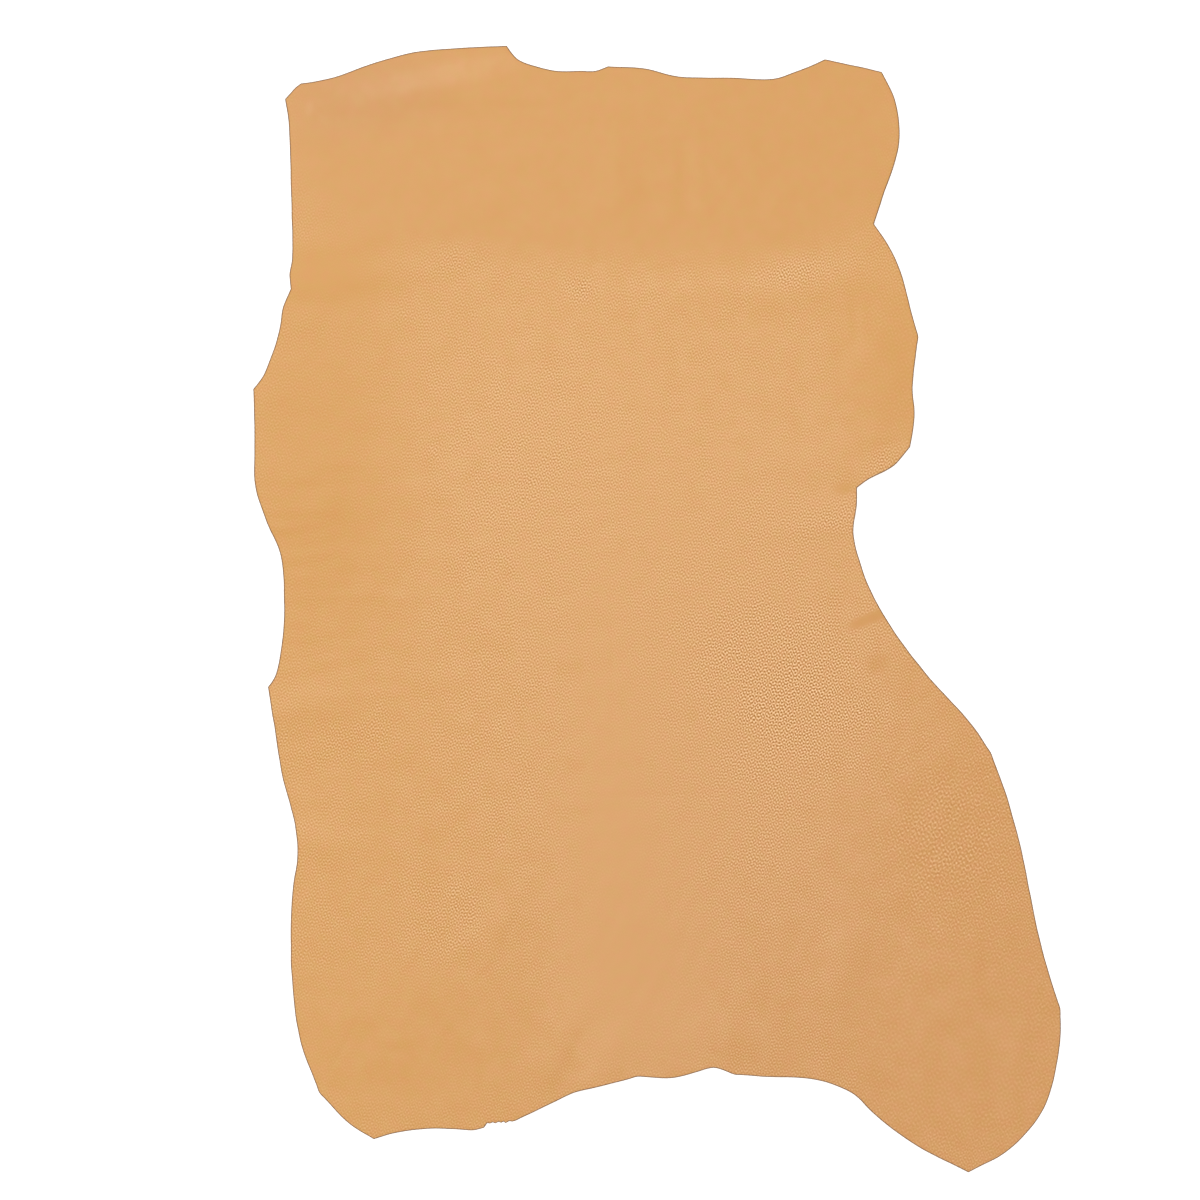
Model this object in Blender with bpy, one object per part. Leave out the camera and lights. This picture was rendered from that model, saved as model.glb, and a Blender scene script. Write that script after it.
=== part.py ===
"""A tanned hide of soft pebbled leather, laid flat on a surface with its grain side up.

X runs across the hide and Y along its spine, with the neck end towards +Y. The hide
is one cut piece of even thickness. Most of it lies flat; the rest stands a few
millimetres up in the ridges and creases that it kept from being folded and packed.
"""

import math

import bmesh
import bpy
from mathutils import Vector
from mathutils.geometry import delaunay_2d_cdt

MM = 0.001

# Sizes in millimetres
THICKNESS = 1.2
EDGE_STEP = 7.0        # spacing of the points along the cut edge
EDGE_CLEARANCE = 4.5   # other points stay this far from the cut edge
FOLD_STEP = 13.0       # least spacing of the points along a fold
FOLD_GAP = 5.0         # points of two folds that cross stay this far apart
FLAT_STEP = 36.0       # spacing of the points where the hide lies flat

# Tan leather: base colour (linear), roughness
TAN = (0.73, 0.39, 0.156, 1.0)
ROUGHNESS = 0.6

# The cut edge, clockwise from the left corner of the neck. Each stretch is one smooth
# curve from the corner where the last stretch ended, through these points (x, y in mm).
NECK_LEFT_CORNER = (-327, 449)
OUTLINE = (
    ("neck, left lobe", ((-313, 463), (-304, 464), (-285, 468), (-251, 480), (-215, 490),
                         (-174, 494), (-132, 496))),
    ("neck, hollow", ((-122, 484), (-107, 478), (-89, 474), (-66, 474), (-54, 474), (-43, 478))),
    ("neck, middle", ((-11, 476), (20, 469), (64, 468), (103, 467), (122, 473), (148, 484))),
    ("neck, right end", ((181, 477), (198, 473))),
    ("right side of the neck", ((210, 447), (213, 409), (198, 360), (191, 339))),
    ("right shoulder", ((203, 322), (215, 296), (224, 262), (230, 240))),
    ("right fore shank", ((225, 194), (227, 171), (223, 143))),
    ("behind the right shank", ((208, 126), (187, 115), (176, 107))),
    ("right flank", ((176, 92), (173, 68), (184, 27), (203, -10), (235, -54), (277, -101),
                     (294, -126))),
    ("right hind shank, outer", ((307, -161), (320, -208), (332, -268), (341, -306),
                                 (355, -351))),
    ("right hind toe", ((355, -379), (341, -438), (310, -475), (274, -495))),
    ("right hind shank, inner", ((226, -470), (189, -442), (174, -427), (142, -414), (94, -411),
                                 (68, -409))),
    ("tail", ((50, -403), (38, -406), (14, -412), (-17, -411))),
    ("left hind shank, inner", ((-32, -415), (-72, -425), (-98, -437), (-125, -450))),
    ("torn bit", ((-149, -452),)),
    ("left hind foot", ((-152, -456), (-161, -458), (-177, -457), (-204, -457), (-232, -461),
                        (-249, -466))),
    ("left hind toe", ((-271, -452), (-297, -425))),
    ("left hind shank, outer", ((-314, -378), (-321, -325), (-322, -278), (-320, -243),
                                (-316, -217), (-318, -191), (-330, -144), (-337, -99),
                                (-342, -68))),
    ("left flank", ((-336, -59), (-329, -23), (-328, 12), (-331, 48), (-343, 77), (-353, 107),
                    (-354, 136), (-354, 163), (-355, 194))),
    ("left shoulder", ((-346, 206), (-332, 246), (-329, 265), (-322, 282))),
    ("left side of the neck", ((-323, 296), (-321, 306), (-322, 375), (-324, 429),
                               NECK_LEFT_CORNER)),
)

# Raised forms, all in millimetres. Each one follows a line from one place to another,
# whose middle is moved sideways by bow, to the left of that direction. It is strongest at
# the stated part of the line, from 0 at its start to 1 at its end, and fades both ways.
# With no shoulders it is a ridge, one soft crest of that half width. With shoulders it is
# a crease: a valley of that half width, down to the surface below, in a low raised strip.
FOLDS = (
    # name                       from          to           bow strongest half width shoulders height
    ("neck edge, rolled up",    (-323, 437),  (-50, 452),    16, 0.45,    24,         0,       2.6),
    ("upper fold, left",        (-330, 300),  (-110, 342),   -4, 0.30,    15,        38,       2.6),
    ("under the left notch",    (-345, 268),  (-245, 270),    0, 0.15,    12,        30,       2.4),
    ("upper fold, right",       (-70, 276),   (232, 284),     4, 0.62,    28,         0,       3.2),
    ("middle fold, right",      (208, 104),   (40, 108),      0, 0.20,    24,        56,       3.6),
    ("middle fold, left",       (-372, 98),   (-130, 124),    0, 0.12,    14,        36,       2.6),
    ("left flank, upper",       (-362, -98),  (-225, -72),    3, 0.15,    20,         0,       3.4),
    ("left flank, lower",       (-340, -196), (-230, -212),  -3, 0.20,    20,         0,       3.0),
    ("beside the spine",        (-122, -228), (-168, -336),   3, 0.50,    24,         0,       2.8),
    ("beside the tail",         (-18, -326),  (-96, -466),  -12, 0.68,    20,        50,       5.5),
    ("right hind, along",       (188, -242),  (138, -396),   -2, 0.45,    27,         0,       4.0),
    ("right hind, fork",        (158, -440),  (178, -352),    0, 0.15,    13,        30,       3.0),
    ("right hind, turned edge", (176, -440),  (322, -484),   -6, 0.55,    12,        28,       3.2),
    ("right hind, swell",       (267, -225),  (262, -440),    0, 0.50,    60,         0,       2.6),
    ("right hind, outer",       (312, -345),  (318, -436),    0, 0.50,    18,         0,       2.0),
    ("right flank, first",      (212, -1),    (146, -26),     3, 0.25,     9,        22,       2.0),
    ("right flank, second",     (232, -23),   (166, -76),     0, 0.40,    10,        24,       2.4),
    ("right flank, third",      (300, -104),  (205, -142),    3, 0.45,    10,        25,       2.2),
    ("right hind, upper nick",  (331, -213),  (280, -236),    0, 0.20,    10,        24,       3.0),
    ("right hind, lower nick",  (345, -257),  (290, -290),    0, 0.25,    10,        24,       3.2),
    ("right side of the neck",  (222, 406),   (140, 402),     0, 0.20,    18,        42,       2.4),
    ("right notch",             (200, 341),   (146, 328),     0, 0.20,    10,        26,       2.8),
    ("left notch",              (-330, 290),  (-288, 294),    0, 0.25,     8,        18,       2.0),
    ("left fore shank",         (-366, 192),  (-296, 210),    0, 0.20,    12,        30,       2.4),
    ("right fore shank, swell", (194, 278),   (205, 145),     0, 0.50,    36,         0,       2.2),
    ("left side, swell",        (-305, 190),  (-301, -32),    0, 0.50,    42,         0,       1.8),
    ("left hind, swell",        (-198, -286), (-272, -424),   0, 0.50,    60,         0,       2.6),
    ("tail, swell",             (-20, -372),  (130, -380),    0, 0.50,    34,         0,       2.2),
)

# Where points are set across a fold, as parts of its half width or of its shoulders' width
RIDGE_ROWS = (0, -0.35, 0.35, -0.7, 0.7, -1, 1)
VALLEY_ROWS = (0, -0.5, 0.5, -1, 1)
SHOULDER_ROWS = (-0.7, 0.7, -1, 1)


def clear_scene():
    for obj in list(bpy.data.objects):
        bpy.data.objects.remove(obj, do_unlink=True)


def mix(a, b, t_a, t_b, t):
    """The point at t on the line that passes a at t_a and b at t_b."""
    return ((t_b - t) * a + (t - t_a) * b) / (t_b - t_a)


def curve_point(p0, p1, p2, p3, part):
    """A point between p1 and p2 on the smooth (centripetal Catmull-Rom) curve of four."""
    t0 = 0.0
    t1 = t0 + math.sqrt((p1 - p0).length)
    t2 = t1 + math.sqrt((p2 - p1).length)
    t3 = t2 + math.sqrt((p3 - p2).length)
    t = t1 + part * (t2 - t1)
    a = mix(p0, p1, t0, t1, t)
    b = mix(p1, p2, t1, t2, t)
    c = mix(p2, p3, t2, t3, t)
    return mix(mix(a, b, t0, t2, t), mix(b, c, t1, t3, t), t1, t2, t)


def stretch_points(corner, points):
    """Evenly spaced points of one smooth stretch, from its first corner up to its last."""
    path = [Vector(corner)] + [Vector(p) for p in points]
    path = [2 * path[0] - path[1]] + path + [2 * path[-1] - path[-2]]
    found = []
    for p0, p1, p2, p3 in zip(path, path[1:], path[2:], path[3:]):
        steps = max(1, round((p2 - p1).length / EDGE_STEP))
        found += [curve_point(p0, p1, p2, p3, i / steps) for i in range(steps)]
    return found


def outline_points():
    corner = NECK_LEFT_CORNER
    found = []
    for _name, points in OUTLINE:
        found += stretch_points(corner, points)
        corner = points[-1]
    return found


def bell(u):
    """1 in the middle, falling smoothly to 0 at u = 1 and beyond."""
    return (1 - u * u) ** 2 if abs(u) < 1 else 0.0


def fold_frame(fold):
    """The fold's start, its direction, the direction to its left, and its length."""
    start = Vector(fold[1])
    run = Vector(fold[2]) - start
    direction = run.normalized()
    return start, direction, Vector((-direction.y, direction.x)), run.length


def fold_height(fold, place):
    """How far one fold lifts the hide at a place, in mm."""
    _name, _from, _to, bow, strongest, half_width, shoulders, height = fold
    start, direction, left, length = fold_frame(fold)
    along = (place - start).dot(direction) / length
    if not 0 < along < 1:
        return 0.0
    side = strongest if along < strongest else 1 - strongest
    strength = height * bell((along - strongest) / side)
    across = (place - start).dot(left) - 4 * bow * along * (1 - along)
    if not shoulders:
        return strength * bell(across / half_width)
    return strength * bell(across / shoulders) * (1 - bell(across / half_width))


def hide_height(place):
    """How far the hide's underside stands above the surface that it lies on, in mm."""
    return sum(fold_height(fold, place) for fold in FOLDS)


def is_inside(place, edge):
    """True if a line from the place to the right crosses the edge an odd number of times."""
    crossings = 0
    for a, b in zip(edge, edge[1:] + edge[:1]):
        if (a.y > place.y) != (b.y > place.y):
            crossings += place.x < a.x + (place.y - a.y) / (b.y - a.y) * (b.x - a.x)
    return crossings % 2 == 1


def fold_points(fold):
    """Rows of points along a fold, close together across it and further apart along it."""
    _name, _from, _to, bow, _strongest, half_width, shoulders, _height = fold
    start, direction, left, length = fold_frame(fold)
    rows = [part * half_width for part in (VALLEY_ROWS if shoulders else RIDGE_ROWS)]
    rows += [part * shoulders for part in SHOULDER_ROWS if shoulders]
    steps = max(3, round(length / max(FOLD_STEP, 0.8 * half_width)))
    found = []
    for across in rows:
        for i in range(steps + 1):
            along = i / steps
            sideways = across + 4 * bow * along * (1 - along)
            found.append(start + along * length * direction + sideways * left)
    return found


def flat_points(edge):
    """An even staggered lattice over the whole hide."""
    row_step = FLAT_STEP * math.sqrt(3) / 2
    rows = int(max(abs(p.y) for p in edge) / row_step) + 1
    columns = int(max(abs(p.x) for p in edge) / FLAT_STEP) + 1
    return [
        Vector(((column + 0.5 * (row % 2)) * FLAT_STEP, row * row_step))
        for row in range(-rows, rows + 1)
        for column in range(-columns, columns + 1)
    ]


def inner_points(edge):
    """The points inside the edge: the narrowest folds' rows first, the flat lattice last."""
    kept = []
    batches = [(FOLD_GAP, fold_points(fold)) for fold in sorted(FOLDS, key=lambda f: f[5])]
    batches.append((FLAT_STEP / 2, flat_points(edge)))
    for gap, points in batches:
        before = list(kept)
        for point in points:
            clear = all((point - other).length > gap for other in before)
            off_edge = all((point - other).length > EDGE_CLEARANCE for other in edge)
            if clear and off_edge and is_inside(point, edge):
                kept.append(point)
    return kept


def sheet_mesh(name):
    """The hide's underside: its outline filled with triangles and lifted into its folds."""
    edge = outline_points()
    points = edge + inner_points(edge)
    border = list(range(len(edge)))[::-1]
    filled = delaunay_2d_cdt(points, [], [border], 1, 0.01)
    bm = bmesh.new()
    lifted = [(p.x, p.y, hide_height(p)) for p in filled[0]]
    verts = [bm.verts.new(Vector(place) * MM) for place in lifted]
    for face in filled[2]:
        bm.faces.new([verts[i] for i in face])
    bmesh.ops.recalc_face_normals(bm, faces=bm.faces)
    if sum(face.normal.z for face in bm.faces) < 0:
        bmesh.ops.reverse_faces(bm, faces=bm.faces)
    centre_on_origin(bm)
    mesh = bpy.data.meshes.new(name)
    bm.to_mesh(mesh)
    bm.free()
    return mesh


def centre_on_origin(bm):
    """Puts the middle of the hide's length and width over the origin."""
    for axis in (0, 1):
        places = [v.co[axis] for v in bm.verts]
        middle = (min(places) + max(places)) / 2
        for v in bm.verts:
            v.co[axis] -= middle


def leather():
    material = bpy.data.materials.new("tan leather")
    material.use_nodes = True
    shader = material.node_tree.nodes["Principled BSDF"]
    shader.inputs["Base Color"].default_value = TAN
    shader.inputs["Roughness"].default_value = ROUGHNESS
    shader.inputs["Metallic"].default_value = 0.0
    return material


def make_hide():
    hide = bpy.data.objects.new("hide", sheet_mesh("hide"))
    bpy.context.scene.collection.objects.link(hide)
    hide.data.materials.append(leather())
    hide.data.shade_smooth()
    thickness = hide.modifiers.new("thickness", "SOLIDIFY")
    thickness.thickness = THICKNESS * MM
    thickness.offset = 1.0
    return hide


clear_scene()
make_hide()
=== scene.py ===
# %% [markdown]
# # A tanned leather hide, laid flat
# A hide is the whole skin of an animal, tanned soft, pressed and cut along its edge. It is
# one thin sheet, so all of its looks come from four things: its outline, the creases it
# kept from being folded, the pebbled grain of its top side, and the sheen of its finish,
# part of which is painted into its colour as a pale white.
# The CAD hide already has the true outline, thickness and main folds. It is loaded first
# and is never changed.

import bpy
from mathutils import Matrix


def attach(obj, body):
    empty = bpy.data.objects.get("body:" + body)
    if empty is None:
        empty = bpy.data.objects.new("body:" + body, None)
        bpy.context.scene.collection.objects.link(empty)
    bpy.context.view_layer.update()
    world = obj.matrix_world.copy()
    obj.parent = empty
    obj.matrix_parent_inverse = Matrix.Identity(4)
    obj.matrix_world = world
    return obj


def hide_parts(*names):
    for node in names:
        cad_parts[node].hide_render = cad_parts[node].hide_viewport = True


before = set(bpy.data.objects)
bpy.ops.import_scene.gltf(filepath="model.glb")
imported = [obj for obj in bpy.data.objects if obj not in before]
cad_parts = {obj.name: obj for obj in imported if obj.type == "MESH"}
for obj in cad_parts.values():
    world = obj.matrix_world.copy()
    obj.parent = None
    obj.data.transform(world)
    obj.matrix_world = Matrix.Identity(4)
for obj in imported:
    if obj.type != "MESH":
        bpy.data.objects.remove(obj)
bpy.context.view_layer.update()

# %% [markdown]
# ## Tools
# Shapes are worked out in millimetres here, because a hide's creases are of that size, and
# they become metres only when the mesh is made. Loading leaves the CAD hide selected, so
# the selection is cleared before any operator runs.

# %% Bring in the tools and clear the selection
import math

import bmesh
import bpy
import numpy as np
from mathutils import Vector, noise
from mathutils.bvhtree import BVHTree
from mathutils.geometry import delaunay_2d_cdt
from mathutils.kdtree import KDTree

MM = 0.001
THICKNESS = 1.2          # mm

bpy.ops.object.select_all(action="DESELECT")
cad_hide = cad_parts["hide"]
print("triangles in the CAD hide:", len(cad_hide.data.polygons))

# %% [markdown]
# ## The CAD hide as a surface to lie on
# A CAD mesh comes as loose triangles. A copy is merged, so that its corners know their
# neighbours, and its underside is picked out by the direction that its faces look in.
# What is left of it is a plain table: where each corner is, how high it stands, and which
# three corners each triangle has.

# %% Read the underside of the CAD hide
FACES_DOWN = -0.5        # a face looks down if its normal's z is below this
SAME_PLACE = 0.001       # mm within which two corners are one


def merged_copy(obj):
    """A bmesh of the object's triangles, joined where their corners meet."""
    bm = bmesh.new()
    bm.from_mesh(obj.data)
    bmesh.ops.remove_doubles(bm, verts=bm.verts, dist=SAME_PLACE * MM)
    bm.verts.index_update()
    return bm


cad = merged_copy(cad_hide)
under_faces = [face for face in cad.faces if face.normal.z < FACES_DOWN]
cad_points = np.array([v.co for v in cad.verts]) / MM
cad_triangles = np.array([[v.index for v in face.verts] for face in under_faces])
print("underside triangles:", len(cad_triangles))

# %% [markdown]
# ## The cut edge
# A hide is trimmed by hand with a knife: long smooth sweeps, and a corner where the knife
# turned. The CAD edge is made of short straight pieces. A smooth curve through its corners
# gives the sweeps back, and where the edge turns sharply the curve is allowed to break, so
# that the real corners stay crisp.

# %% Follow the cut edge round the hide
def edge_walk(bm):
    """The corners of the underside's border, in order."""
    beside = {}
    for edge in bm.edges:
        if sum(face.normal.z < FACES_DOWN for face in edge.link_faces) == 1:
            a, b = (v.index for v in edge.verts)
            beside.setdefault(a, []).append(b)
            beside.setdefault(b, []).append(a)
    walk = [min(beside)]
    step = beside[walk[0]][0]
    while step != walk[0]:
        walk.append(step)
        step = next(n for n in beside[step] if n != walk[-2])
    return walk


def signed_area(loop):
    """The area inside the loop, above zero where it runs anticlockwise."""
    x, y = loop.T
    return 0.5 * float(np.sum(x * np.roll(y, -1) - np.roll(x, -1) * y))


cad_edge = cad_points[edge_walk(cad), :2]
if signed_area(cad_edge) < 0:
    cad_edge = cad_edge[::-1]
print("cut edge:", len(cad_edge), "corners, area", round(signed_area(cad_edge) * MM * MM, 4), "m2")

# %% Smooth the edge between its real corners
EDGE_STEP = 2.4          # mm between points along the finished edge
CORNER = math.radians(24)    # the edge breaks where it turns by more than this


def turns(loop):
    """How far the edge turns at each of its points."""
    ahead = np.roll(loop, -1, axis=0) - loop
    behind = loop - np.roll(loop, 1, axis=0)
    angle = np.arctan2(ahead[:, 1], ahead[:, 0]) - np.arctan2(behind[:, 1], behind[:, 0])
    return np.abs((angle + math.pi) % (2 * math.pi) - math.pi)


def between(p0, p1, p2, p3, part):
    """The Catmull-Rom point at that part of the way from p1 to p2."""
    return 0.5 * (2 * p1 + (p2 - p0) * part + (2 * p0 - 5 * p1 + 4 * p2 - p3) * part ** 2
                  + (3 * p1 - p0 - 3 * p2 + p3) * part ** 3)


def smooth_edge(loop):
    """A smooth curve through the loop's corners, broken at the sharp ones."""
    sharp = turns(loop) > CORNER
    count = len(loop)
    found = []
    for i in range(count):
        j = (i + 1) % count
        p1, p2 = loop[i], loop[j]
        p0 = 2 * p1 - p2 if sharp[i] else loop[i - 1]
        p3 = 2 * p2 - p1 if sharp[j] else loop[(j + 1) % count]
        steps = max(1, round(float(np.linalg.norm(p2 - p1)) / EDGE_STEP))
        found += [between(p0, p1, p2, p3, k / steps) for k in range(steps)]
    return np.array(found)


edge = smooth_edge(cad_edge)
print("smoothed edge:", len(edge), "points,", int(np.sum(turns(cad_edge) > CORNER)), "corners")

# %% [markdown]
# ## The trimmer's hand
# No knife cut is perfectly smooth. The edge wanders by a few tenths of a millimetre, and
# at the left hind foot a short piece was torn instead of cut, which leaves small teeth.
# The wander is slow noise along the edge, and the teeth are quick noise between two places.

# %% Let the edge wander and tear it at the foot
WANDER = 0.3             # mm
WANDER_LENGTH = 16.0     # mm from one bend to the next
TORN_FROM, TORN_TO = (-150, -452), (-127, -450)
TORN_REACH = 1.5         # mm
TEETH_OUT, TEETH_IN = 1.0, -0.6      # points go out and in by turns, by these shares of it
TEETH_MEAN, TEETH_VARY = 0.6, 0.8    # how large the teeth are, and how much noise changes that
TEETH_LENGTH, TEETH_LAYER = 5.0, 7.5     # mm over which they change, and which noise they use


def edge_normals(loop):
    """The direction out of the hide at each point of the edge."""
    along = np.roll(loop, -1, axis=0) - np.roll(loop, 1, axis=0)
    along /= np.linalg.norm(along, axis=1, keepdims=True)
    return np.stack([along[:, 1], -along[:, 0]], axis=1)


def slow_noise(places, length, layer=0.0):
    """Smooth random values from about -1 to 1, with bumps about that far apart."""
    return np.array([noise.noise(Vector((x / length, y / length, layer))) for x, y in places])


def torn_teeth(loop):
    """How far each point of the torn stretch stands out."""
    middle = (np.array(TORN_FROM) + TORN_TO) / 2
    half = np.linalg.norm(np.array(TORN_TO) - TORN_FROM) / 2
    near = np.clip(1 - (np.linalg.norm(loop - middle, axis=1) / half) ** 4, 0, 1)
    jagged = np.where(np.arange(len(loop)) % 2, TEETH_OUT, TEETH_IN)
    size = TEETH_MEAN + TEETH_VARY * slow_noise(loop, TEETH_LENGTH, TEETH_LAYER)
    return TORN_REACH * near * jagged * size


outwards = edge_normals(edge)
trim = WANDER * slow_noise(edge, WANDER_LENGTH) + torn_teeth(edge)
edge = edge + outwards * trim[:, None]
print("edge wanders by up to", round(float(np.abs(trim).max()), 2), "mm")

# %% [markdown]
# ## Points to bend the leather at
# A sheet bends smoothly only if its points are evenly spread. Rows of a staggered lattice
# give triangles that are nearly equal, with no direction in which creases look different.
# The top gets the fine lattice, because it is seen, and the flesh side a coarser one.
# Points too near the edge are left out, so that no sliver is made there.

# %% Fill the outline with even triangles
TOP_STEP = 3.0           # mm between points of the top
UNDER_STEP = 6.0         # mm between points of the flesh side
CLEAR_SHARE = 0.6        # of a step, kept free of points along the edge
INSIDE_ONLY = 1          # the triangulation keeps what is inside the border
CDT_NEAR = 0.0001        # mm within which it takes two points for one


def lattice(loop, step):
    """Staggered rows of points over the box of the loop."""
    (x0, y0), (x1, y1) = loop.min(axis=0), loop.max(axis=0)
    rows = np.arange(y0, y1, step * math.sqrt(3) / 2)
    columns = np.arange(x0, x1 + step, step)
    x, y = np.meshgrid(columns, rows)
    x[1::2] -= step / 2
    return np.stack([x.ravel(), y.ravel()], axis=1)


def inside(places, loop):
    """True where a line to the right of a place crosses the loop an odd number of times."""
    x, y = places.T
    odd = np.zeros(len(places), bool)
    for (ax, ay), (bx, by) in zip(loop, np.roll(loop, -1, axis=0)):
        if ay != by:
            crosses = (ay > y) != (by > y)
            odd ^= crosses & (x < ax + (y - ay) / (by - ay) * (bx - ax))
    return odd


def clear_of(places, loop, gap):
    """True where a place is further than the gap from every point of the loop."""
    tree = KDTree(len(loop))
    for i, (x, y) in enumerate(loop):
        tree.insert((x, y, 0), i)
    tree.balance()
    return np.array([tree.find((x, y, 0))[2] > gap for x, y in places])


def filled(loop, step):
    """The points and triangles of a flat sheet with that border."""
    grid = lattice(loop, step)
    grid = grid[inside(grid, loop)]
    grid = grid[clear_of(grid, loop, CLEAR_SHARE * step)]
    points = np.concatenate([loop, grid])
    border = list(range(len(loop)))
    made = delaunay_2d_cdt([Vector(p) for p in points], [], [border], INSIDE_ONLY, CDT_NEAR)
    return np.array(made[0]), np.array(made[2])


ROUND_IN = 0.90          # mm from the cut face to where the flat top begins
top_border = edge - outwards * ROUND_IN
top_places, top_triangles = filled(top_border, TOP_STEP)
print("top:", len(top_places), "points,", len(top_triangles), "triangles")

# %% [markdown]
# ## Lying on the folds
# Each point of the leather takes its height from the CAD triangle under it. A flat triangle
# would leave facets that a low light shows up, so the height is blended with what the slope
# at each corner predicts, which bends the surface smoothly from one triangle to the next.

# %% Take the height of the CAD folds
SMOOTH_PASSES = 28       # rounds of evening out, so that the CAD triangles don't show
NEARLY_ZERO = 1e-9       # so that nothing is divided by zero


def corner_slopes(points, triangles):
    """The mean slope of the triangles round each corner, as (dz/dx, dz/dy)."""
    a, b, c = (points[triangles[:, i]] for i in range(3))
    across = np.cross(b - a, c - a)
    across *= np.sign(across[:, 2:])
    total = np.zeros_like(points)
    for i in range(3):
        np.add.at(total, triangles[:, i], across)
    return -total[:, :2] / np.maximum(total[:, 2:], NEARLY_ZERO)


def shares(place, corners):
    """How much of each corner a place has (its barycentric coordinates)."""
    a, b, c = (corners[:, i, :2] for i in range(3))
    ab, ac, ap = b - a, c - a, place - a
    whole = ab[:, 0] * ac[:, 1] - ab[:, 1] * ac[:, 0]
    of_b = (ap[:, 0] * ac[:, 1] - ap[:, 1] * ac[:, 0]) / whole
    of_c = (ab[:, 0] * ap[:, 1] - ab[:, 1] * ap[:, 0]) / whole
    return np.stack([1 - of_b - of_c, of_b, of_c], axis=1)


def fold_heights(places):
    """The height of the CAD underside at each place, bent smoothly across its triangles."""
    flat = [(x, y, 0.0) for x, y, _z in cad_points]
    tree = BVHTree.FromPolygons(flat, cad_triangles.tolist())
    hit = np.array([tree.find_nearest((x, y, 0.0))[2] for x, y in places])
    used = cad_triangles[hit]
    corners = cad_points[used]
    slopes = corner_slopes(cad_points, cad_triangles)[used]
    share = shares(places, corners)
    away = places[:, None, :] - corners[:, :, :2]
    predicted = corners[:, :, 2] + (slopes * away).sum(axis=2)
    return (share * (corners[:, :, 2] + predicted) / 2).sum(axis=1)


def evened(values, triangles, passes):
    """Moves each value half way to the mean of its neighbours, a few times over."""
    pairs = np.concatenate([triangles[:, [0, 1]], triangles[:, [1, 2]], triangles[:, [2, 0]]])
    a, b = np.concatenate([pairs, pairs[:, ::-1]]).T
    count = np.maximum(np.bincount(a, minlength=len(values)), 1)
    for _ in range(passes):
        mean = np.bincount(a, values[b], minlength=len(values)) / count
        values = (values + mean) / 2
    return values


folds = np.maximum(evened(fold_heights(top_places), top_triangles, SMOOTH_PASSES), 0)
print("folds stand up to", round(float(folds.max()), 2), "mm high")

# %% [markdown]
# ## Creases
# A hide remembers how it was packed. Besides its main folds it has short, shallow grooves
# and ridges, most of them near the edge and down the hind legs, where the skin is slack.
# Each one is a row of the table: a line from one place to another, its middle moved to the
# left by the bow, strongest at one part of its length and fading out both ways. A height
# above zero is a ridge and below zero a groove. Simulated cloth would crease by chance;
# a table puts each crease where this hide has it.

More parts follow.
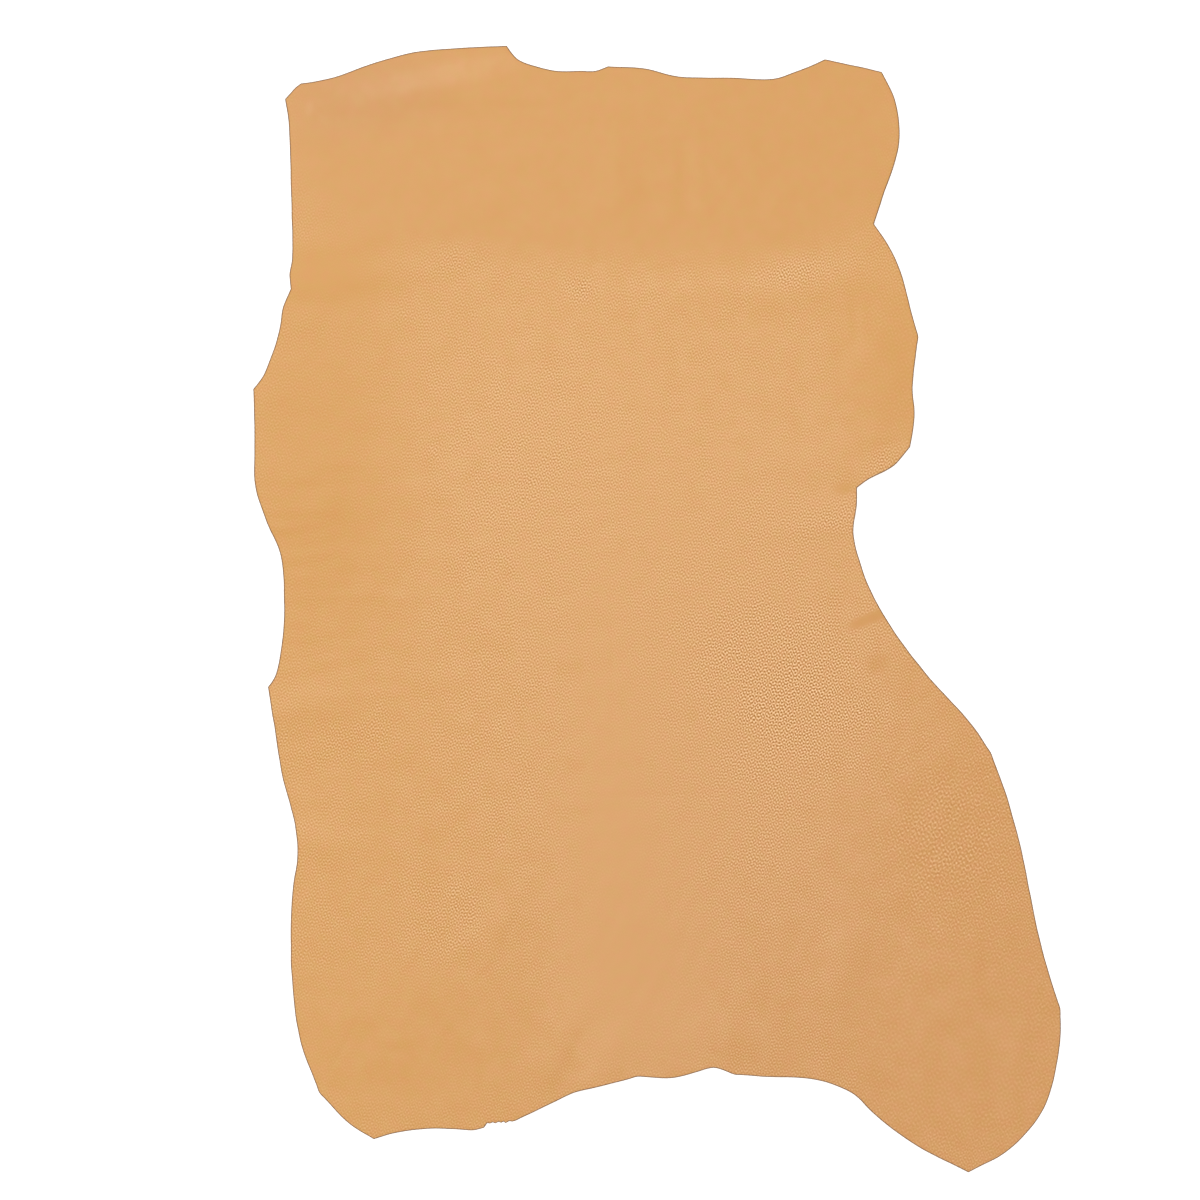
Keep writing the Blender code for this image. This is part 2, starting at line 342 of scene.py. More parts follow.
# %% The table of creases
CREASES = (  # all in mm; the strongest place is a part of the line's length
    # name                                     from            to            bow strongest half width height
    ("neck corner, short groove",             (-314, 455),   (-286, 420),     0, 0.50,  6.2, -0.35),
    ("neck, broad ripple",                    (-45, 422),    (-31, 320),      0, 0.50, 29.9,  0.80),
    ("neck, upright groove",                  (22, 437),     (29, 332),       0, 0.45, 12.3, -0.35),
    ("below the neck, thin ridge",            (-40, 294),    (57, 316),       0, 0.50,  4.4,  0.30),
    ("below the neck, dimple",                (-61, 302),    (-47, 304),      0, 0.50,  5.3, -0.30),
    ("right shoulder, upright groove",        (172, 288),    (176, 226),      0, 0.50,  7.0, -0.35),
    ("right shank, groove",                   (230, 150),    (166, 136),      0, 0.35,  7.9, -0.40),
    ("right shoulder, long ridge",            (62, 67),      (189, 73),       0, 0.65, 13.2,  0.55),
    ("middle, short groove",                  (57, 180),     (91, 176),       0, 0.50,  5.3, -0.25),
    ("middle, dimple",                        (17, 130),     (29, 128),       0, 0.50,  5.3, -0.25),
    ("middle, upright nick",                  (4, 62),       (5, 36),         0, 0.50,  3.5, -0.25),
    ("middle, blotch",                        (26, -39),     (55, -46),       0, 0.50,  7.0, -0.30),
    ("left side, upright ridge",              (-342, 152),   (-339, 91),      0, 0.50,  7.0,  0.30),
    ("left side, short ridge",                (-348, 73),    (-302, 67),      0, 0.30,  7.9,  0.35),
    ("left side, swelling",                   (-268, 15),    (-205, 7),       0, 0.60,  9.7,  0.35),
    ("left flank, weak ridge",                (-295, -183),  (-231, -188),    0, 0.50,  7.0,  0.22),
    ("left of the spine, swelling",           (-186, -106),  (-145, -98),     0, 0.50, 12.3,  0.40),
    ("right flank, nick",                     (199, -22),    (194, -52),      0, 0.50,  3.5, -0.25),
    ("right flank, short groove",             (209, -80),    (240, -95),      0, 0.50,  4.4, -0.30),
    ("right flank, upright groove",           (221, -105),   (196, -161),     0, 0.45,  5.3, -0.40),
    ("right flank, edge groove",              (311, -141),   (274, -150),     0, 0.30,  4.4, -0.45),
    ("right flank, edge ridge",               (265, -137),   (305, -133),     0, 0.50,  5.3,  0.30),
    ("right flank, faint groove",             (314, -164),   (277, -169),     0, 0.40,  3.5, -0.30),
    ("right flank, dimple",                   (260, -171),   (258, -198),     0, 0.50,  6.2, -0.45),
    ("right flank, second dimple",            (247, -200),   (241, -226),     0, 0.50,  4.4, -0.35),
    ("right flank, upright ridge",            (282, -170),   (277, -217),     0, 0.50,  7.0,  0.40),
    ("right hind, upright groove",            (293, -224),   (290, -256),     0, 0.50,  4.4, -0.35),
    ("right hind, wrinkle 1",                 (257, -279),   (277, -328),    -2, 0.50,  5.3, -0.40),
    ("right hind, wrinkle 2",                 (283, -284),   (297, -330),    -2, 0.50,  4.4, -0.32),
    ("right hind, wrinkle 3",                 (312, -282),   (321, -309),     0, 0.50,  3.5, -0.28),
    ("right hind, edge wrinkle",              (348, -305),   (335, -353),     0, 0.50,  4.4, -0.38),
    ("right hind, outer ridge",               (319, -355),   (316, -427),     0, 0.50, 10.6,  0.60),
    ("right hind, inner ridge",               (285, -385),   (284, -427),     0, 0.50,  8.8,  0.42),
    ("right hind, cross ridge",               (256, -341),   (302, -342),     0, 0.50,  7.9,  0.36),
    ("right hind, toe ridge",                 (233, -473),   (284, -486),     0, 0.50,  7.0,  0.42),
    ("tail, arc",                             (22, -379),    (84, -397),     -4, 0.60,  4.4, -0.38),
    ("tail, thin line",                       (-20, -382),   (43, -403),      0, 0.50,  2.6, -0.30),
    ("tail, edge nick",                       (57, -399),    (85, -406),      0, 0.50,  5.3, -0.45),
    ("beside the spine, nick",                (11, -238),    (13, -277),      0, 0.50,  4.4, -0.36),
    ("right of the tail, groove",             (101, -325),   (94, -358),      0, 0.50,  5.3, -0.30),
    ("right of the tail, nick",               (121, -221),   (132, -244),     0, 0.50,  5.3, -0.30),
    ("left of the tail, wrinkle 1",           (-112, -254),  (-138, -307),   -3, 0.45,  5.3, -0.42),
    ("left of the tail, wrinkle 2",           (-136, -304),  (-165, -334),    0, 0.50,  4.4, -0.34),
    ("left of the tail, wrinkle 3",           (-150, -337),  (-161, -356),    0, 0.50,  5.3, -0.42),
    ("left of the tail, wrinkle 4",           (-173, -381),  (-193, -362),    0, 0.50,  5.3, -0.32),
    ("left hind, swelling",                   (-254, -378),  (-209, -384),    0, 0.50,  8.8,  0.38),
    ("left hind, scar",                       (-259, -349),  (-300, -426),    2, 0.45,  3.1, -0.50),
    ("beside the tail, deep line",            (-52, -355),   (-92, -434),    -5, 0.60,  7.9, -0.45),
    ("beside the tail, second line",          (-48, -385),   (-45, -418),     0, 0.50,  4.4, -0.30),
    ("packing fold, across",                  (-209, -167),  (196, -162),     0, 0.50,  2.6, -0.14),
    ("packing fold, spine",                   (-40, 78),     (-38, -168),     0, 0.50,  3.5, -0.16),
)
CREASE_STRENGTH = 1.4    # one number that makes every crease deeper or shallower
print("creases:", len(CREASES))

# %% Press the creases in
def bell(u):
    """1 in the middle, falling smoothly to 0 at u = 1 and beyond."""
    return np.clip(1 - u * u, 0, None) ** 2


def crease_height(row, places):
    """How far one crease moves each place up or down, in mm."""
    _name, start, end, bow, strongest, half_width, height = row
    run = np.subtract(end, start).astype(float)
    length = np.linalg.norm(run)
    run /= length
    away = places - start
    along = away @ run / length
    across = away @ np.array([-run[1], run[0]]) - 4 * bow * along * (1 - along)
    side = np.where(along < strongest, strongest, 1 - strongest)
    return CREASE_STRENGTH * height * bell((along - strongest) / side) * bell(across / half_width)


pressed = sum(crease_height(row, top_places) for row in CREASES)
print("creases from", round(float(pressed.min()), 2), "to", round(float(pressed.max()), 2), "mm")

# %% [markdown]
# ## Fine wrinkles
# Between its creases, slack skin is never quite flat. It has small wrinkles, all running one
# way in any one part of the hide: across the back and the neck, and down the legs. Slow
# noise that is stretched along that way makes them, and the rows of this table say where
# they are, which way they run and how high they stand. A little noise with no direction
# lies over the whole hide, and the leather is loose, so it lies a little above the table.

# %% Add the wrinkles
WRINKLED = (  # mm, degrees, and the share of the oval over which it fades out
    # name               x     y   half x half y turn fade  runs height
    ("neck",            -60,  430,  320,   110,   0,  0.9,    3, 0.20),
    ("upper back",      -60,  120,  270,   230,   0,  1.0,    8, 0.34),
    ("left side",      -300,  -20,  110,   340,   0,  1.0,    4, 0.34),
    ("right flank",     240, -130,  130,   160,   0,  1.0,   40, 0.36),
    ("lower middle",     50, -290,  200,   180,   0,  1.0,   66, 0.32),
    ("right hind",      285, -380,  130,   150,   0,  1.0,   88, 0.42),
    ("left hind",      -210, -370,  150,   130,   0,  1.0,   60, 0.36),
)
WRINKLE = (45.0, 9.0)                    # mm along and across one wrinkle
UNEVEN = ((22.0, 0.34), (8.0, 0.08))     # mm apart, mm high
WRINKLE_LAYER, UNEVEN_LAYER = 60.0, 20.0     # where the noises of each start
OVAL_POWER = 3           # 2 would make ellipses, and more makes them squarer
LOOSE = 0.45             # mm that the leather lies above the table
LOWEST_TOP = 0.5         # mm of leather left under the deepest groove


def area_strength(row, places):
    """1 in the middle of an oval area, fading to 0 at its rim."""
    _name, x, y, half_x, half_y, turn, fade = row[:7]
    c, s = math.cos(math.radians(turn)), math.sin(math.radians(turn))
    along = ((places[:, 0] - x) * c + (places[:, 1] - y) * s) / half_x
    across = ((places[:, 1] - y) * c - (places[:, 0] - x) * s) / half_y
    reach = (np.abs(along) ** OVAL_POWER + np.abs(across) ** OVAL_POWER) ** (1 / OVAL_POWER)
    t = np.clip((1 - reach) / fade, 0, 1)
    return t * t * (3 - 2 * t)


def wrinkles(places):
    """How far the fine wrinkles move each place up or down, in mm."""
    total = np.zeros(len(places))
    for i, (*area, runs, height) in enumerate(WRINKLED):
        c, s = math.cos(math.radians(runs)), math.sin(math.radians(runs))
        turned = places @ np.array([[c, -s], [s, c]]) / WRINKLE
        total += area_strength(area, places) * height * slow_noise(turned, 1.0, WRINKLE_LAYER + i)
    return total


def uneven(places):
    """The small bumps with no direction, in mm."""
    total = 0
    for i, (apart, height) in enumerate(UNEVEN):
        total = total + height * slow_noise(places, apart, UNEVEN_LAYER + i)
    return total


lift = LOOSE + pressed + wrinkles(top_places) + uneven(top_places)
top_heights = np.maximum(folds + THICKNESS + lift, LOWEST_TOP)
lowest, highest = float(top_heights.min()), float(top_heights.max())
print("top surface from", round(lowest, 2), "to", round(highest, 2), "mm")

# %% [markdown]
# ## The cut face and the flesh side
# From the side, the hide shows its cut face: a rounded shoulder where the pressing of the
# knife pulled the grain down, then the straight cut, then a small rounding at the flesh
# side. Four loops of points round the edge make that profile. The flesh side is a second,
# coarser sheet that runs one thickness below the top. The leather is loose, so the flesh
# side touches the table only where it dips, and it is never let through it.

# %% Build the loops of the edge and the flesh side
PROFILE = (              # mm in from the cut, share of the thickness above the flesh side
    (0.20, 0.00),        # where the flesh side begins
    (0.00, 0.30),
    (0.10, 0.78),
)
ABOVE_ALL = 50.0         # mm, higher than any of the leather
TOUCHING = 0.05          # mm


def top_height_at(places):
    """The height of the top right above each place."""
    points = np.column_stack([top_places, top_heights])
    tree = BVHTree.FromPolygons(points.tolist(), top_triangles.tolist())
    found = []
    for x, y in places:
        place = tree.ray_cast((x, y, ABOVE_ALL), (0, 0, -1))[0]
        found.append(place.z if place else tree.find_nearest((x, y, THICKNESS))[0].z)
    return np.array(found)


border_top = top_heights[: len(edge)]
border_under = np.maximum(border_top - THICKNESS, 0)
under_border = edge - outwards * PROFILE[0][0]
under_places, under_triangles = filled(under_border, UNDER_STEP)
under_heights = np.maximum(top_height_at(under_places) - THICKNESS, 0)
under_heights[: len(edge)] = border_under
print("flesh side:", len(under_triangles), "triangles")
print("share that touches the table:", round(float(np.mean(under_heights < TOUCHING)), 4))

# %% Put the sheet together
def loop_points(inset, share):
    """One loop round the cut, at that share of the way up from the flesh side."""
    height = border_under + share * (border_top - border_under)
    return np.column_stack([edge - outwards * inset, height])


def strip(lower, upper, count):
    """Triangles between two loops of points, looking out of the hide."""
    i = np.arange(count)
    j = (i + 1) % count
    first = np.column_stack([lower + i, lower + j, upper + j])
    second = np.column_stack([lower + i, upper + j, upper + i])
    return np.concatenate([first, second])


count = len(edge)
top_first = 0
under_first = len(top_places)
loops_first = under_first + len(under_places)
points = np.concatenate([
    np.column_stack([top_places, top_heights]),
    np.column_stack([under_places, under_heights]),
    loop_points(*PROFILE[1]),
    loop_points(*PROFILE[2]),
])
cut_faces = np.concatenate([
    strip(under_first, loops_first, count),
    strip(loops_first, loops_first + count, count),
    strip(loops_first + count, top_first, count),
])
faces = np.concatenate([top_triangles, under_triangles[:, ::-1] + under_first, cut_faces])
GRAIN, FLESH, CUT = 0, 1, 2              # the order in which the materials are added
sides = np.repeat([GRAIN, FLESH, CUT], [len(top_triangles), len(under_triangles), len(cut_faces)])
print("leather:", len(points), "points,", len(faces), "triangles")

# %% Make the leather object
SMOOTH_BELOW = math.radians(60)          # edges that bend less than this look rounded


def sheet_object(name, points, faces, sides):
    """An object of those triangles, each with the material of its side."""
    mesh = bpy.data.meshes.new(name)
    mesh.from_pydata((points * MM).tolist(), [], faces.tolist())
    mesh.polygons.foreach_set("material_index", sides)
    mesh.validate()
    obj = bpy.data.objects.new(name, mesh)
    bpy.context.scene.collection.objects.link(obj)
    return obj


leather = sheet_object("leather_hide", points, faces, sides)
leather.select_set(True)
bpy.context.view_layer.objects.active = leather
bpy.ops.object.shade_smooth_by_angle(angle=SMOOTH_BELOW)
bpy.ops.object.select_all(action="DESELECT")
whole = merged_copy(leather)
print("closed:", all(len(e.link_faces) == 2 for e in whole.edges))
whole.free()

# %% [markdown]
# ## Where the skin differs
# No two parts of a skin are alike. The belly has the coarsest pebbles, the neck was pressed
# nearly smooth, and the spine is tight and fine. The back has a painted sheen, pale white
# added to its colour; towards the right hind leg the colour is darker and redder, partly
# deeper dye and partly painted shade of the light falling off; and the legs are slack. Each
# row of this table is a soft oval area that adds to four values of the leather: how deep its
# grain is, how strong the painted sheen, how dark the dye and painted shade, and how slack
# the skin. The values are stored on the mesh's points, for the material to read.

# %% The table of areas
AREAS = (  # mm, degrees, and the share of the oval over which it fades out
    # name                                  x      y  half x half y turn fade  grain  painted sheen  dye and shade  slack
    ("the back",                            30,   -40,  290,  480,    4, 1.00,  0.00,  0.62,  0.00, 0.00),
    ("towards the right hind leg",         360,  -520,  760,  900,    0, 1.00,  0.00,  0.00,  1.00, 0.00),
    ("neck, pressed flat",                 -59,   430,  330,  142,   -2, 0.28, -0.36, -0.30,  0.20, 0.30),
    ("neck, left corner",                 -260,   455,  110,   60,   10, 0.80,  0.00,  0.15,  0.40, 0.00),
    ("left shoulder and side",            -300,   120,  110,  250,    0, 0.90, -0.22, -0.45,  0.00, 0.30),
    ("right shoulder",                     205,   219,   70,  110,    0, 0.90, -0.26, -0.35,  0.00, 0.60),
    ("upper back",                        -110,   130,  120,  150,    0, 1.00,  0.20,  0.30,  0.00, 0.00),
    ("spine, upper",                       -45,    17,   25,  110,    0, 0.90, -0.08,  0.00,  0.00, 0.00),
    ("spine, middle",                      -38,  -133,   55,  150,    0, 1.00, -0.27,  0.00,  0.00, 0.00),
    ("spine, lower",                       -30,  -256,   85,  145,    0, 1.00, -0.25,  0.40,  0.00, 0.20),
    ("tail",                               -15,  -345,  100,  125,    0, 0.90, -0.22,  0.50,  0.00, 0.30),
    ("right of the spine",                  77,     8,  110,  150,  -20, 1.00,  0.22,  0.05,  0.00, 0.00),
    ("right of the spine, lower",          100,  -215,   75,  110,    0, 1.00,  0.22,  0.00,  0.00, 0.00),
    ("right belly, coarse",                125,   -80,  120,  120,   20, 1.00,  0.72,  0.10,  0.00, 0.00),
    ("left of the spine",                 -147,   -98,   90,  260,    0, 1.00,  0.18,  0.00,  0.00, 0.00),
    ("left of the spine, lower",          -185,  -270,   60,   60,    0, 1.00,  0.22,  0.05,  0.00, 0.00),
    ("left flank, streak",                -275,  -115,   80,   30,   10, 1.00,  0.20, -0.20,  0.00, 0.00),
    ("left hind",                         -230,  -388,  190,  100,    0, 0.90, -0.26, -0.05,  0.00, 0.30),
    ("right hind",                         271,  -384,  125,  130,    0, 0.80, -0.28,  0.10,  0.00, 1.00),
    ("right hind, upper",                  255,  -200,  110,  140,    0, 0.90,  0.14, -0.15,  0.00, 0.60),
    ("patch under the neck, right",        121,   297,   62,   22,    8, 0.90,  0.35,  0.30,  0.00, 0.00),
    ("patch under the neck, left",        -172,   309,   40,   24,    0, 0.90,  0.25,  0.10,  0.00, 0.00),
    ("patch under the neck, middle",       -70,   279,   22,   17,    0, 0.90,  0.30,  0.10,  0.00, 0.00),
    ("right shank, patch",                 200,   131,   29,   15,   20, 0.90,  0.30,  0.30,  0.00, 0.00),
    ("beside the right shank",             139,    81,   97,   36,    4, 0.90,  0.10,  0.35,  0.00, 0.00),
    ("under the neck, smooth left",       -288,   298,   95,   55,    0, 0.90, -0.30, -0.40,  0.00, 0.00),
    ("neck, upper left band",             -191,   470,  105,   16,   10, 0.90,  0.00,  0.60,  0.00, 0.00),
    ("neck corner, pale crease",          -306,   441,    5,    9,    0, 0.90,  0.00,  0.40,  0.00, 0.00),
    ("right flank, smooth streak",         186,    -9,   28,    7,   22, 0.70, -0.75, -0.60,  0.15, 0.00),
    ("right flank, second streak",         194,   -48,   18,   15,   10, 0.90, -0.35, -0.45,  0.15, 0.00),
    ("right shank, smooth notch",          163,   105,   16,    9,    5, 0.90, -0.35, -0.60,  0.10, 0.00),
    ("beside the right shank, bright",     152,    79,   30,   17,    0, 0.90,  0.25,  0.50,  0.00, 0.00),
)
# what the four values are where no area adds to them
EVERYWHERE = {"grain": 0.36, "painted_sheen": 0.60, "dye_and_shade": 0.30, "slack": 0.0}
PATCHY = {  # mm apart, share by which the value comes and goes, where its noise starts
    "grain": ((26.0, 0.30, 40.0), (9.0, 0.20, 41.0)),
    # the painted sheen comes and goes in patches too
    "painted_sheen": ((21.0, 0.33, 50.0), (9.0, 0.30, 51.0)),
}


def store(obj, name, values):
    """Keeps one value for each point of the object's mesh."""
    attribute = obj.data.attributes.new(name, "FLOAT", "POINT")
    attribute.data.foreach_set("value", values.astype(np.float32))
    print(name, "from", round(float(values.min()), 2), "to", round(float(values.max()), 2))


places = points[:, :2]
strengths = [area_strength(row, places) for row in AREAS]
FIRST_VALUE = 7          # the column of the first of the four values
for column, (name, base) in enumerate(EVERYWHERE.items(), start=FIRST_VALUE):
    values = base + sum(s * row[column] for s, row in zip(strengths, AREAS))
    for length, share, start in PATCHY.get(name, ()):
        values *= 1 + share * slow_noise(places, length, start)
    store(leather, name, np.clip(values, 0, None))

# %% [markdown]
# ## Building materials from nodes
# A material is a net of small steps. One helper adds a step and joins what feeds it, so
# that each material below reads as a list of what happens to the leather.

# %% Helpers for nodes, and the mottling of the grain and flesh sides
def add(tree, kind, inputs=None, **settings):
    """Adds one node. A socket among the inputs is linked, and anything else is set."""
    made = tree.nodes.new("ShaderNode" + kind)
    for name, value in settings.items():
        setattr(made, name, value)
    for name, value in (inputs or {}).items():
        if isinstance(value, bpy.types.NodeSocket):
            tree.links.new(value, made.inputs[name])
        else:
            made.inputs[name].default_value = value
    return made


MIX_A, MIX_B, MIXED = 6, 7, 2            # the colour sockets of a Mix node


def blend(tree, share, a, b, how="MIX"):
    """Colour a, with that share of colour b mixed in, added or multiplied."""
    made = add(tree, "Mix", {0: share, MIX_A: a, MIX_B: b}, data_type="RGBA", blend_type=how)
    return made.outputs[MIXED]


def ramp(tree, value, low, high, to_low=0.0, to_high=1.0, smooth=True):
    """Turns low..high into to_low..to_high."""
    kind = "SMOOTHSTEP" if smooth else "LINEAR"
    made = add(tree, "MapRange", {"Value": value, "From Min": low, "From Max": high,
                                  "To Min": to_low, "To Max": to_high}, interpolation_type=kind)
    return made.outputs["Result"]


def times(tree, a, b):
    """The product of two values."""
    return add(tree, "Math", {0: a, 1: b}, operation="MULTIPLY").outputs[0]


def pattern_group(name, scale, result):
    """A group that turns a place and a scale into one value. What it does is still to be added."""
    group = bpy.data.node_groups.new(name, "ShaderNodeTree")
    group.interface.new_socket("Vector", in_out="INPUT", socket_type="NodeSocketVector")
    group.interface.new_socket(scale, in_out="INPUT", socket_type="NodeSocketFloat")
    group.interface.new_socket(result, in_out="OUTPUT", socket_type="NodeSocketFloat")
    return group, group.nodes.new("NodeGroupInput"), group.nodes.new("NodeGroupOutput")


def use(tree, group, place, per_metre):
    """Adds a pattern to a material, and gives its value."""
    made = add(tree, "Group", node_tree=group)
    tree.links.new(place, made.inputs[0])
    made.inputs[1].default_value = per_metre
    return made.outputs[0]


def mottling_group():
    """Cloudy patches that run from 0 to 1, as dye takes unevenly in skin."""
    group, start, end = pattern_group("mottling", "Patches per metre", "Patch")
    clouds = add(group, "TexNoise", {"Vector": start.outputs[0], "Scale": start.outputs[1],
                                     "Detail": 3.0, "Roughness": 0.55}, noise_dimensions="2D")
    patch = ramp(group, clouds.outputs[0], 0.3, 0.7, smooth=False)
    group.links.new(patch, end.inputs[0])
    return group


MOTTLING = mottling_group()


def new_material(name, roughness, colour):
    """A material, its nodes and its shader."""
    material = bpy.data.materials.new(name)
    material.use_nodes = True
    material.diffuse_color = colour
    shader = material.node_tree.nodes["Principled BSDF"]
    shader.inputs["Roughness"].default_value = roughness
    return material, material.node_tree, shader


# %% [markdown]
# ## The grain side
# The grain is the outer skin: pebbles two to three millimetres across, in rows that cross,
# with dark points where the pebbles meet. Waves that run across the hide and cross each
# other give such rows: a pebble stands where they all rise, and a dark point lies where
# they all fall. A slow noise moves each wave to and fro, so that the rows wander and break
# up as skin does. The slack skin of the legs has coarser pebbles, so a larger set is faded
# in there. The pebbles stand up as a bump. Their tops are painted paler and whiter, partly
# worn crowns and partly a painted glint, and their valleys are painted darker, partly dye
# pooled there and partly painted shade; the valleys are also duller than the polished tops.
# Two more things change the colour slowly over the hide: it is darker and redder in some
# parts, partly deeper dye and partly painted shade, and in others a painted sheen of pale
# white is added to it.

# %% The grain side
FINE_PEBBLES, SLACK_PEBBLES = 0.0025, 0.0036     # metres from one pebble to the next
WAVES = (  # degrees, how strong, its length in pebbles, which noise moves it, how far in radians
    (38, 1.0, 0.95, 0, 9),
    (122, 1.0, 0.95, 1, 9),
    (75, 0.8, 1.15, 2, 9),
    (150, 0.8, 0.90, 0, -9),
    (15, 0.8, 0.90, 1, -9),
    (100, 0.6, 1.15, 2, -9),
)
WAVE_REACH = 2.6         # how high the crossed waves rise together
ROW_LENGTH = 5.0         # pebbles that line up before a row turns
YELLOW_TAN = (0.570, 0.285, 0.052, 1)
ROSE_TAN = (0.590, 0.270, 0.058, 1)
DEEP_DYE_AND_SHADE = (0.900, 0.840, 0.920, 1)      # what is left of the colour where it is darkest: partly deeper dye, partly painted shade
PAINTED_SHEEN_WHITE = (0.045, 0.045, 0.045, 1)           # the pale white that the painted sheen adds to the colour at its strongest
# pebble tops painted paler and whiter: partly worn crowns, partly a painted glint
PALE_CROWN_AND_GLINT = (0.860, 0.550, 0.290, 1)
# pebble valleys painted darker: partly dye pooled there, partly painted shade
VALLEY_DYE_AND_SHADE = (0.340, 0.125, 0.010, 1)
ROUGHNESS, VALLEY_ROUGHNESS = 0.44, 0.70
HALF_WAY = 0.5           # up a pebble: lower is valley and higher is crown
DYE_PATCHES = 90.0       # to a metre
PEBBLE_HEIGHT = 0.0002   # metres, where the grain is at its full depth


def pebbles(tree, place, apart):
    """0 in the valleys between the pebbles and 1 on their tops."""
    wander = add(tree, "TexNoise", {"Vector": place, "Scale": 1 / (apart * ROW_LENGTH),
                                    "Detail": 1.0}, noise_dimensions="2D")
    moved = add(tree, "SeparateColor", {0: wander.outputs["Color"]})
    total = 0.0
    for way, strength, long, which, wanders in WAVES:
        way, turn = math.radians(way), 2 * math.pi / (apart * long)
        across = (math.cos(way) * turn, math.sin(way) * turn, 0)
        run = add(tree, "VectorMath", {0: place, 1: across}, operation="DOT_PRODUCT")
        turned = add(tree, "Math", {0: moved.outputs[which], 1: wanders, 2: run.outputs["Value"]},
                     operation="MULTIPLY_ADD")
        wave = add(tree, "Math", {0: turned.outputs[0]}, operation="SINE")
        total = add(tree, "Math", {0: wave.outputs[0], 1: strength, 2: total},
                    operation="MULTIPLY_ADD").outputs[0]
    return ramp(tree, total, -WAVE_REACH, WAVE_REACH, smooth=False)


def grain_side():
    """The material of the top."""
    material, tree, shader = new_material("tan leather, grain side", ROUGHNESS, YELLOW_TAN)
    place = add(tree, "TexCoord").outputs["Object"]
    grain, painted_sheen, dye_and_shade, slack = (
        add(tree, "Attribute", attribute_name=name).outputs["Fac"] for name in EVERYWHERE
    )
    fine, coarse = (pebbles(tree, place, apart) for apart in (FINE_PEBBLES, SLACK_PEBBLES))
    height = add(tree, "Mix", {"Factor": slack, "A": fine, "B": coarse}).outputs["Result"]
    shaded_valley = times(tree, ramp(tree, height, HALF_WAY, 0.0, smooth=False), grain)
    glinting_crown = times(tree, ramp(tree, height, HALF_WAY, 1.0, smooth=False), grain)
    colour = blend(tree, use(tree, MOTTLING, place, DYE_PATCHES), YELLOW_TAN, ROSE_TAN)
    # darker and redder in some parts: partly deeper dye, partly painted shade
    colour = blend(tree, dye_and_shade, colour, DEEP_DYE_AND_SHADE, "MULTIPLY")
    # a painted sheen: pale white added to the colour
    colour = blend(tree, painted_sheen, colour, PAINTED_SHEEN_WHITE, "ADD")
    # valleys painted darker (dye pooled there and painted shade), tops painted paler (worn crowns and a
    # painted glint)
    colour = blend(tree, shaded_valley, colour, VALLEY_DYE_AND_SHADE)
    colour = blend(tree, glinting_crown, colour, PALE_CROWN_AND_GLINT)
    tree.links.new(colour, shader.inputs["Base Color"])
    dull = add(tree, "Mix", {"Factor": shaded_valley, "A": ROUGHNESS, "B": VALLEY_ROUGHNESS})
    tree.links.new(dull.outputs["Result"], shader.inputs["Roughness"])
    bump = add(tree, "Bump", {"Height": times(tree, height, grain), "Strength": 1.0,
                              "Distance": PEBBLE_HEIGHT})
    tree.links.new(bump.outputs[0], shader.inputs["Normal"])
    return material


leather.data.materials.append(grain_side())

# %% [markdown]
# ## The flesh side
# The underside was split and buffed, so it is suede: paler, quite matt, and covered with a
# short nap of fibres. Two noises are enough for it, one for the clouds of colour and one,
# much finer, for the nap.

# %% The flesh side
SUEDE_PALE = (0.60, 0.42, 0.24, 1)
SUEDE_DEEP = (0.47, 0.30, 0.155, 1)
SUEDE_ROUGHNESS = 0.95
SUEDE_CLOUDS, SUEDE_FIBRES = 22.0, 900.0     # to a metre
NAP_SHADE = 0.35         # how far the roots of the nap darken to the deeper colour
NAP_HEIGHT = 0.0003      # metres


def fibre_group():
    """A fine nap of fibres, from 0 to 1."""
    group, start, end = pattern_group("fibres", "Fibres per metre", "Nap")
    nap = add(group, "TexNoise", {"Vector": start.outputs[0], "Scale": start.outputs[1],
                                  "Detail": 4.0, "Roughness": 0.7, "Distortion": 1.2})
    group.links.new(nap.outputs[0], end.inputs[0])
    return group


FIBRES = fibre_group()


def flesh_side():
    """The material of the underside."""
    material, tree, shader = new_material("suede, flesh side", SUEDE_ROUGHNESS, SUEDE_PALE)
    place = add(tree, "TexCoord").outputs["Object"]
    nap = use(tree, FIBRES, place, SUEDE_FIBRES)
    clouds = blend(tree, use(tree, MOTTLING, place, SUEDE_CLOUDS), SUEDE_DEEP, SUEDE_PALE)
    colour = blend(tree, ramp(tree, nap, 0.35, 0.65, NAP_SHADE, 0.0), clouds, SUEDE_DEEP)
    tree.links.new(colour, shader.inputs["Base Color"])
    bump = add(tree, "Bump", {"Height": nap, "Strength": 0.8, "Distance": NAP_HEIGHT})
    tree.links.new(bump.outputs[0], shader.inputs["Normal"])
    return material


leather.data.materials.append(flesh_side())

# %% [markdown]
# ## The cut edge
# The cut shows the inside of the leather: browner than its top, because the finish lies
# only on the grain, and built of fibres that run mostly along the sheet. From straight
# above it is the thin brown line that draws the outline. Its brown is painted darker than
# the cut's own, as painted shade for the thin shadow along the edge.

# %% The cut edge
# the cut's brown, painted darker: partly its own colour, partly painted shade along the edge
EDGE_BROWN_AND_SHADE = (0.160, 0.075, 0.030, 1)
EDGE_PALE_AND_SHADE = (0.240, 0.120, 0.050, 1)
EDGE_ROUGHNESS = 0.85
EDGE_FIBRES = 700.0      # to a metre along the sheet
EDGE_LAYERS = (1, 1, 4)  # and four times as close from the flesh side to the top
EDGE_HEIGHT = 0.0002     # metres


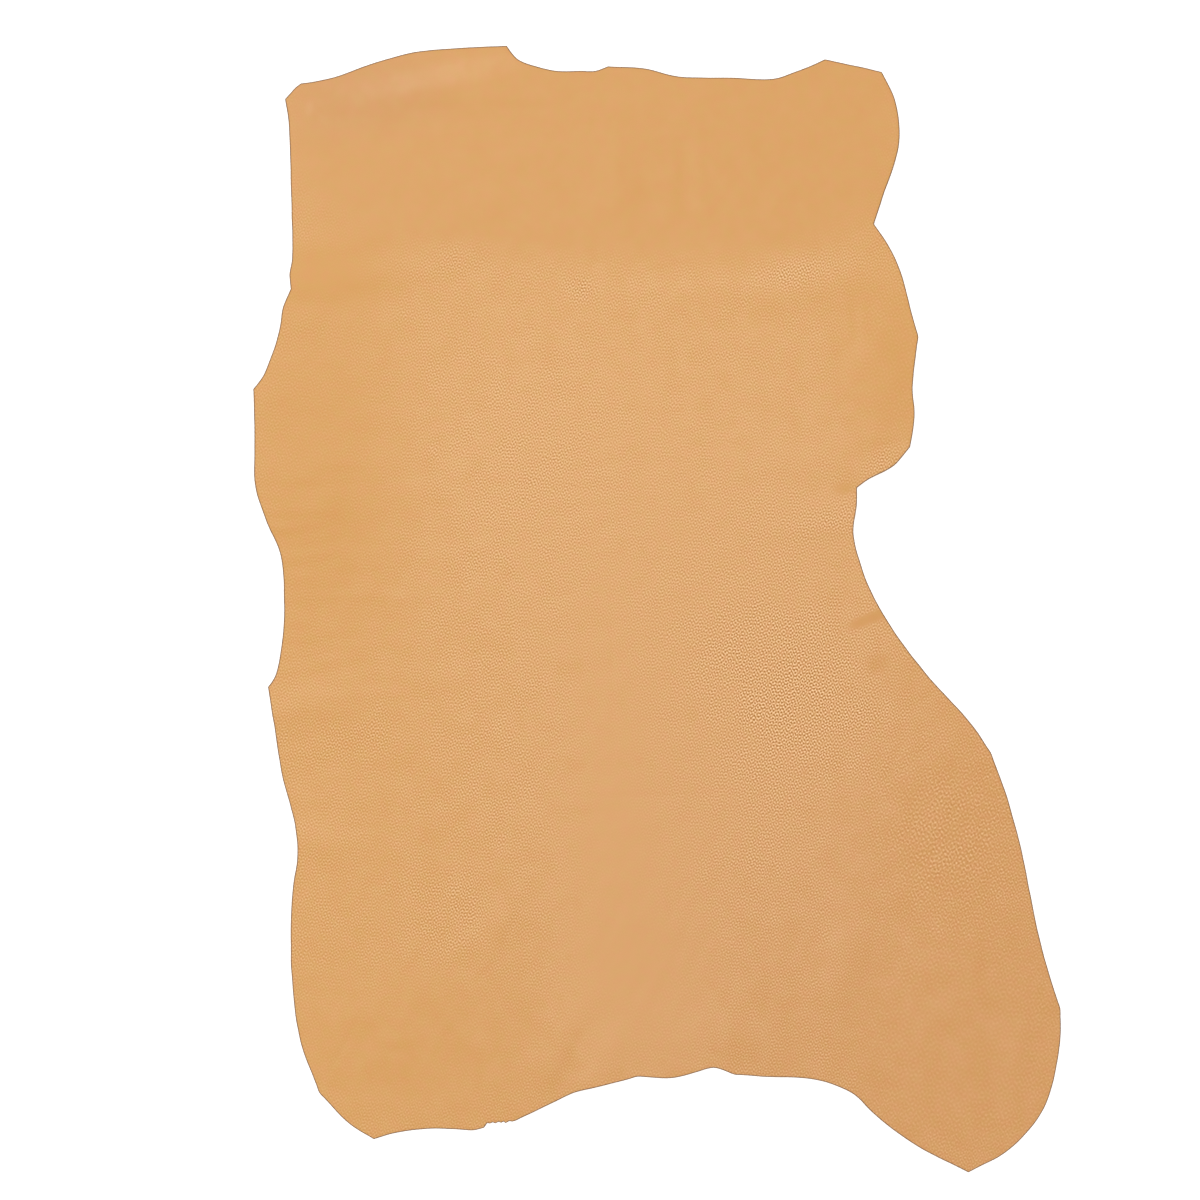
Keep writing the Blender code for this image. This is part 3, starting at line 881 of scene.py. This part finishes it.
def cut_edge():
    """The material of the cut."""
    material, tree, shader = new_material("cut edge", EDGE_ROUGHNESS, EDGE_BROWN_AND_SHADE)
    place = add(tree, "TexCoord").outputs["Object"]
    flat = add(tree, "Mapping", {"Vector": place, "Scale": EDGE_LAYERS})
    layers = use(tree, FIBRES, flat.outputs[0], EDGE_FIBRES)
    colour = blend(tree, ramp(tree, layers, 0.35, 0.7), EDGE_BROWN_AND_SHADE, EDGE_PALE_AND_SHADE)
    tree.links.new(colour, shader.inputs["Base Color"])
    bump = add(tree, "Bump", {"Height": layers, "Strength": 0.7, "Distance": EDGE_HEIGHT})
    tree.links.new(bump.outputs[0], shader.inputs["Normal"])
    return material


leather.data.materials.append(cut_edge())
print("materials:", [m.name for m in leather.data.materials])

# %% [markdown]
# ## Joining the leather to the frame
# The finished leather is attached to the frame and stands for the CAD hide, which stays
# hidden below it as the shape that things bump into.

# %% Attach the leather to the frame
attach(leather, "root")
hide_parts("hide")

# %% [markdown]
# ## A table and soft light
# The hide lies on a plain pale table that is lit a little from below. Most of the light is
# even and comes from all round. One wide soft light hangs high above, a little towards the
# neck and the left, so that slopes that face it shine and others are a little darker. The
# camera looks straight down through a long lens, which keeps the outline true.

# %% Table, light and camera
TABLE_SIZE = 8           # metres
TABLE_GAP = 0.0002       # metres below the hide, so that no faces coincide
TABLE_WHITE = (0.93, 0.93, 0.93, 1)
TABLE_ROUGHNESS = 0.9
TABLE_GLOW = 0.35        # the table is lit from below too, so that the shadows stay faint
WHITE = (1, 1, 1, 1)
DAYLIGHT = 1.0           # the even light from all round
bpy.ops.mesh.primitive_plane_add(size=TABLE_SIZE, location=(0, 0, -TABLE_GAP))
table = bpy.context.active_object
table.name = "table"
paper, _tree, paper_shader = new_material("white table", TABLE_ROUGHNESS, TABLE_WHITE)
paper_shader.inputs["Base Color"].default_value = TABLE_WHITE
paper_shader.inputs["Specular IOR Level"].default_value = 0.0
paper_shader.inputs["Emission Color"].default_value = WHITE
paper_shader.inputs["Emission Strength"].default_value = TABLE_GLOW
table.data.materials.append(paper)

world = bpy.data.worlds.new("studio")
bpy.context.scene.world = world
world.use_nodes = True
sky = world.node_tree.nodes["Background"]
sky.inputs["Color"].default_value = WHITE
sky.inputs["Strength"].default_value = DAYLIGHT

LIGHT_PLACE = Vector((-0.85, 1.25, 4.4))
LIGHT_SIZE = 2.9         # metres across
LIGHT_POWER = 50.0       # watts
lamp = bpy.data.lights.new("soft light", "AREA")
lamp.shape = "DISK"
lamp.size = LIGHT_SIZE
lamp.energy = LIGHT_POWER
soft_light = bpy.data.objects.new("soft light", lamp)
soft_light.location = LIGHT_PLACE
soft_light.rotation_euler = (-LIGHT_PLACE).to_track_quat("-Z", "Y").to_euler()
bpy.context.scene.collection.objects.link(soft_light)

CAMERA_PLACE = (-0.0502, 0.0079, 3.0)
SEEN_WIDTH = 1.056       # metres of the table across the picture
SENSOR_WIDTH = 36.0      # mm
lens = bpy.data.cameras.new("camera")
lens.sensor_width = SENSOR_WIDTH
lens.lens = lens.sensor_width * CAMERA_PLACE[2] / SEEN_WIDTH
camera = bpy.data.objects.new("camera", lens)
camera.location = CAMERA_PLACE
bpy.context.scene.collection.objects.link(camera)
bpy.context.scene.camera = camera
bpy.context.scene.view_settings.view_transform = "Standard"
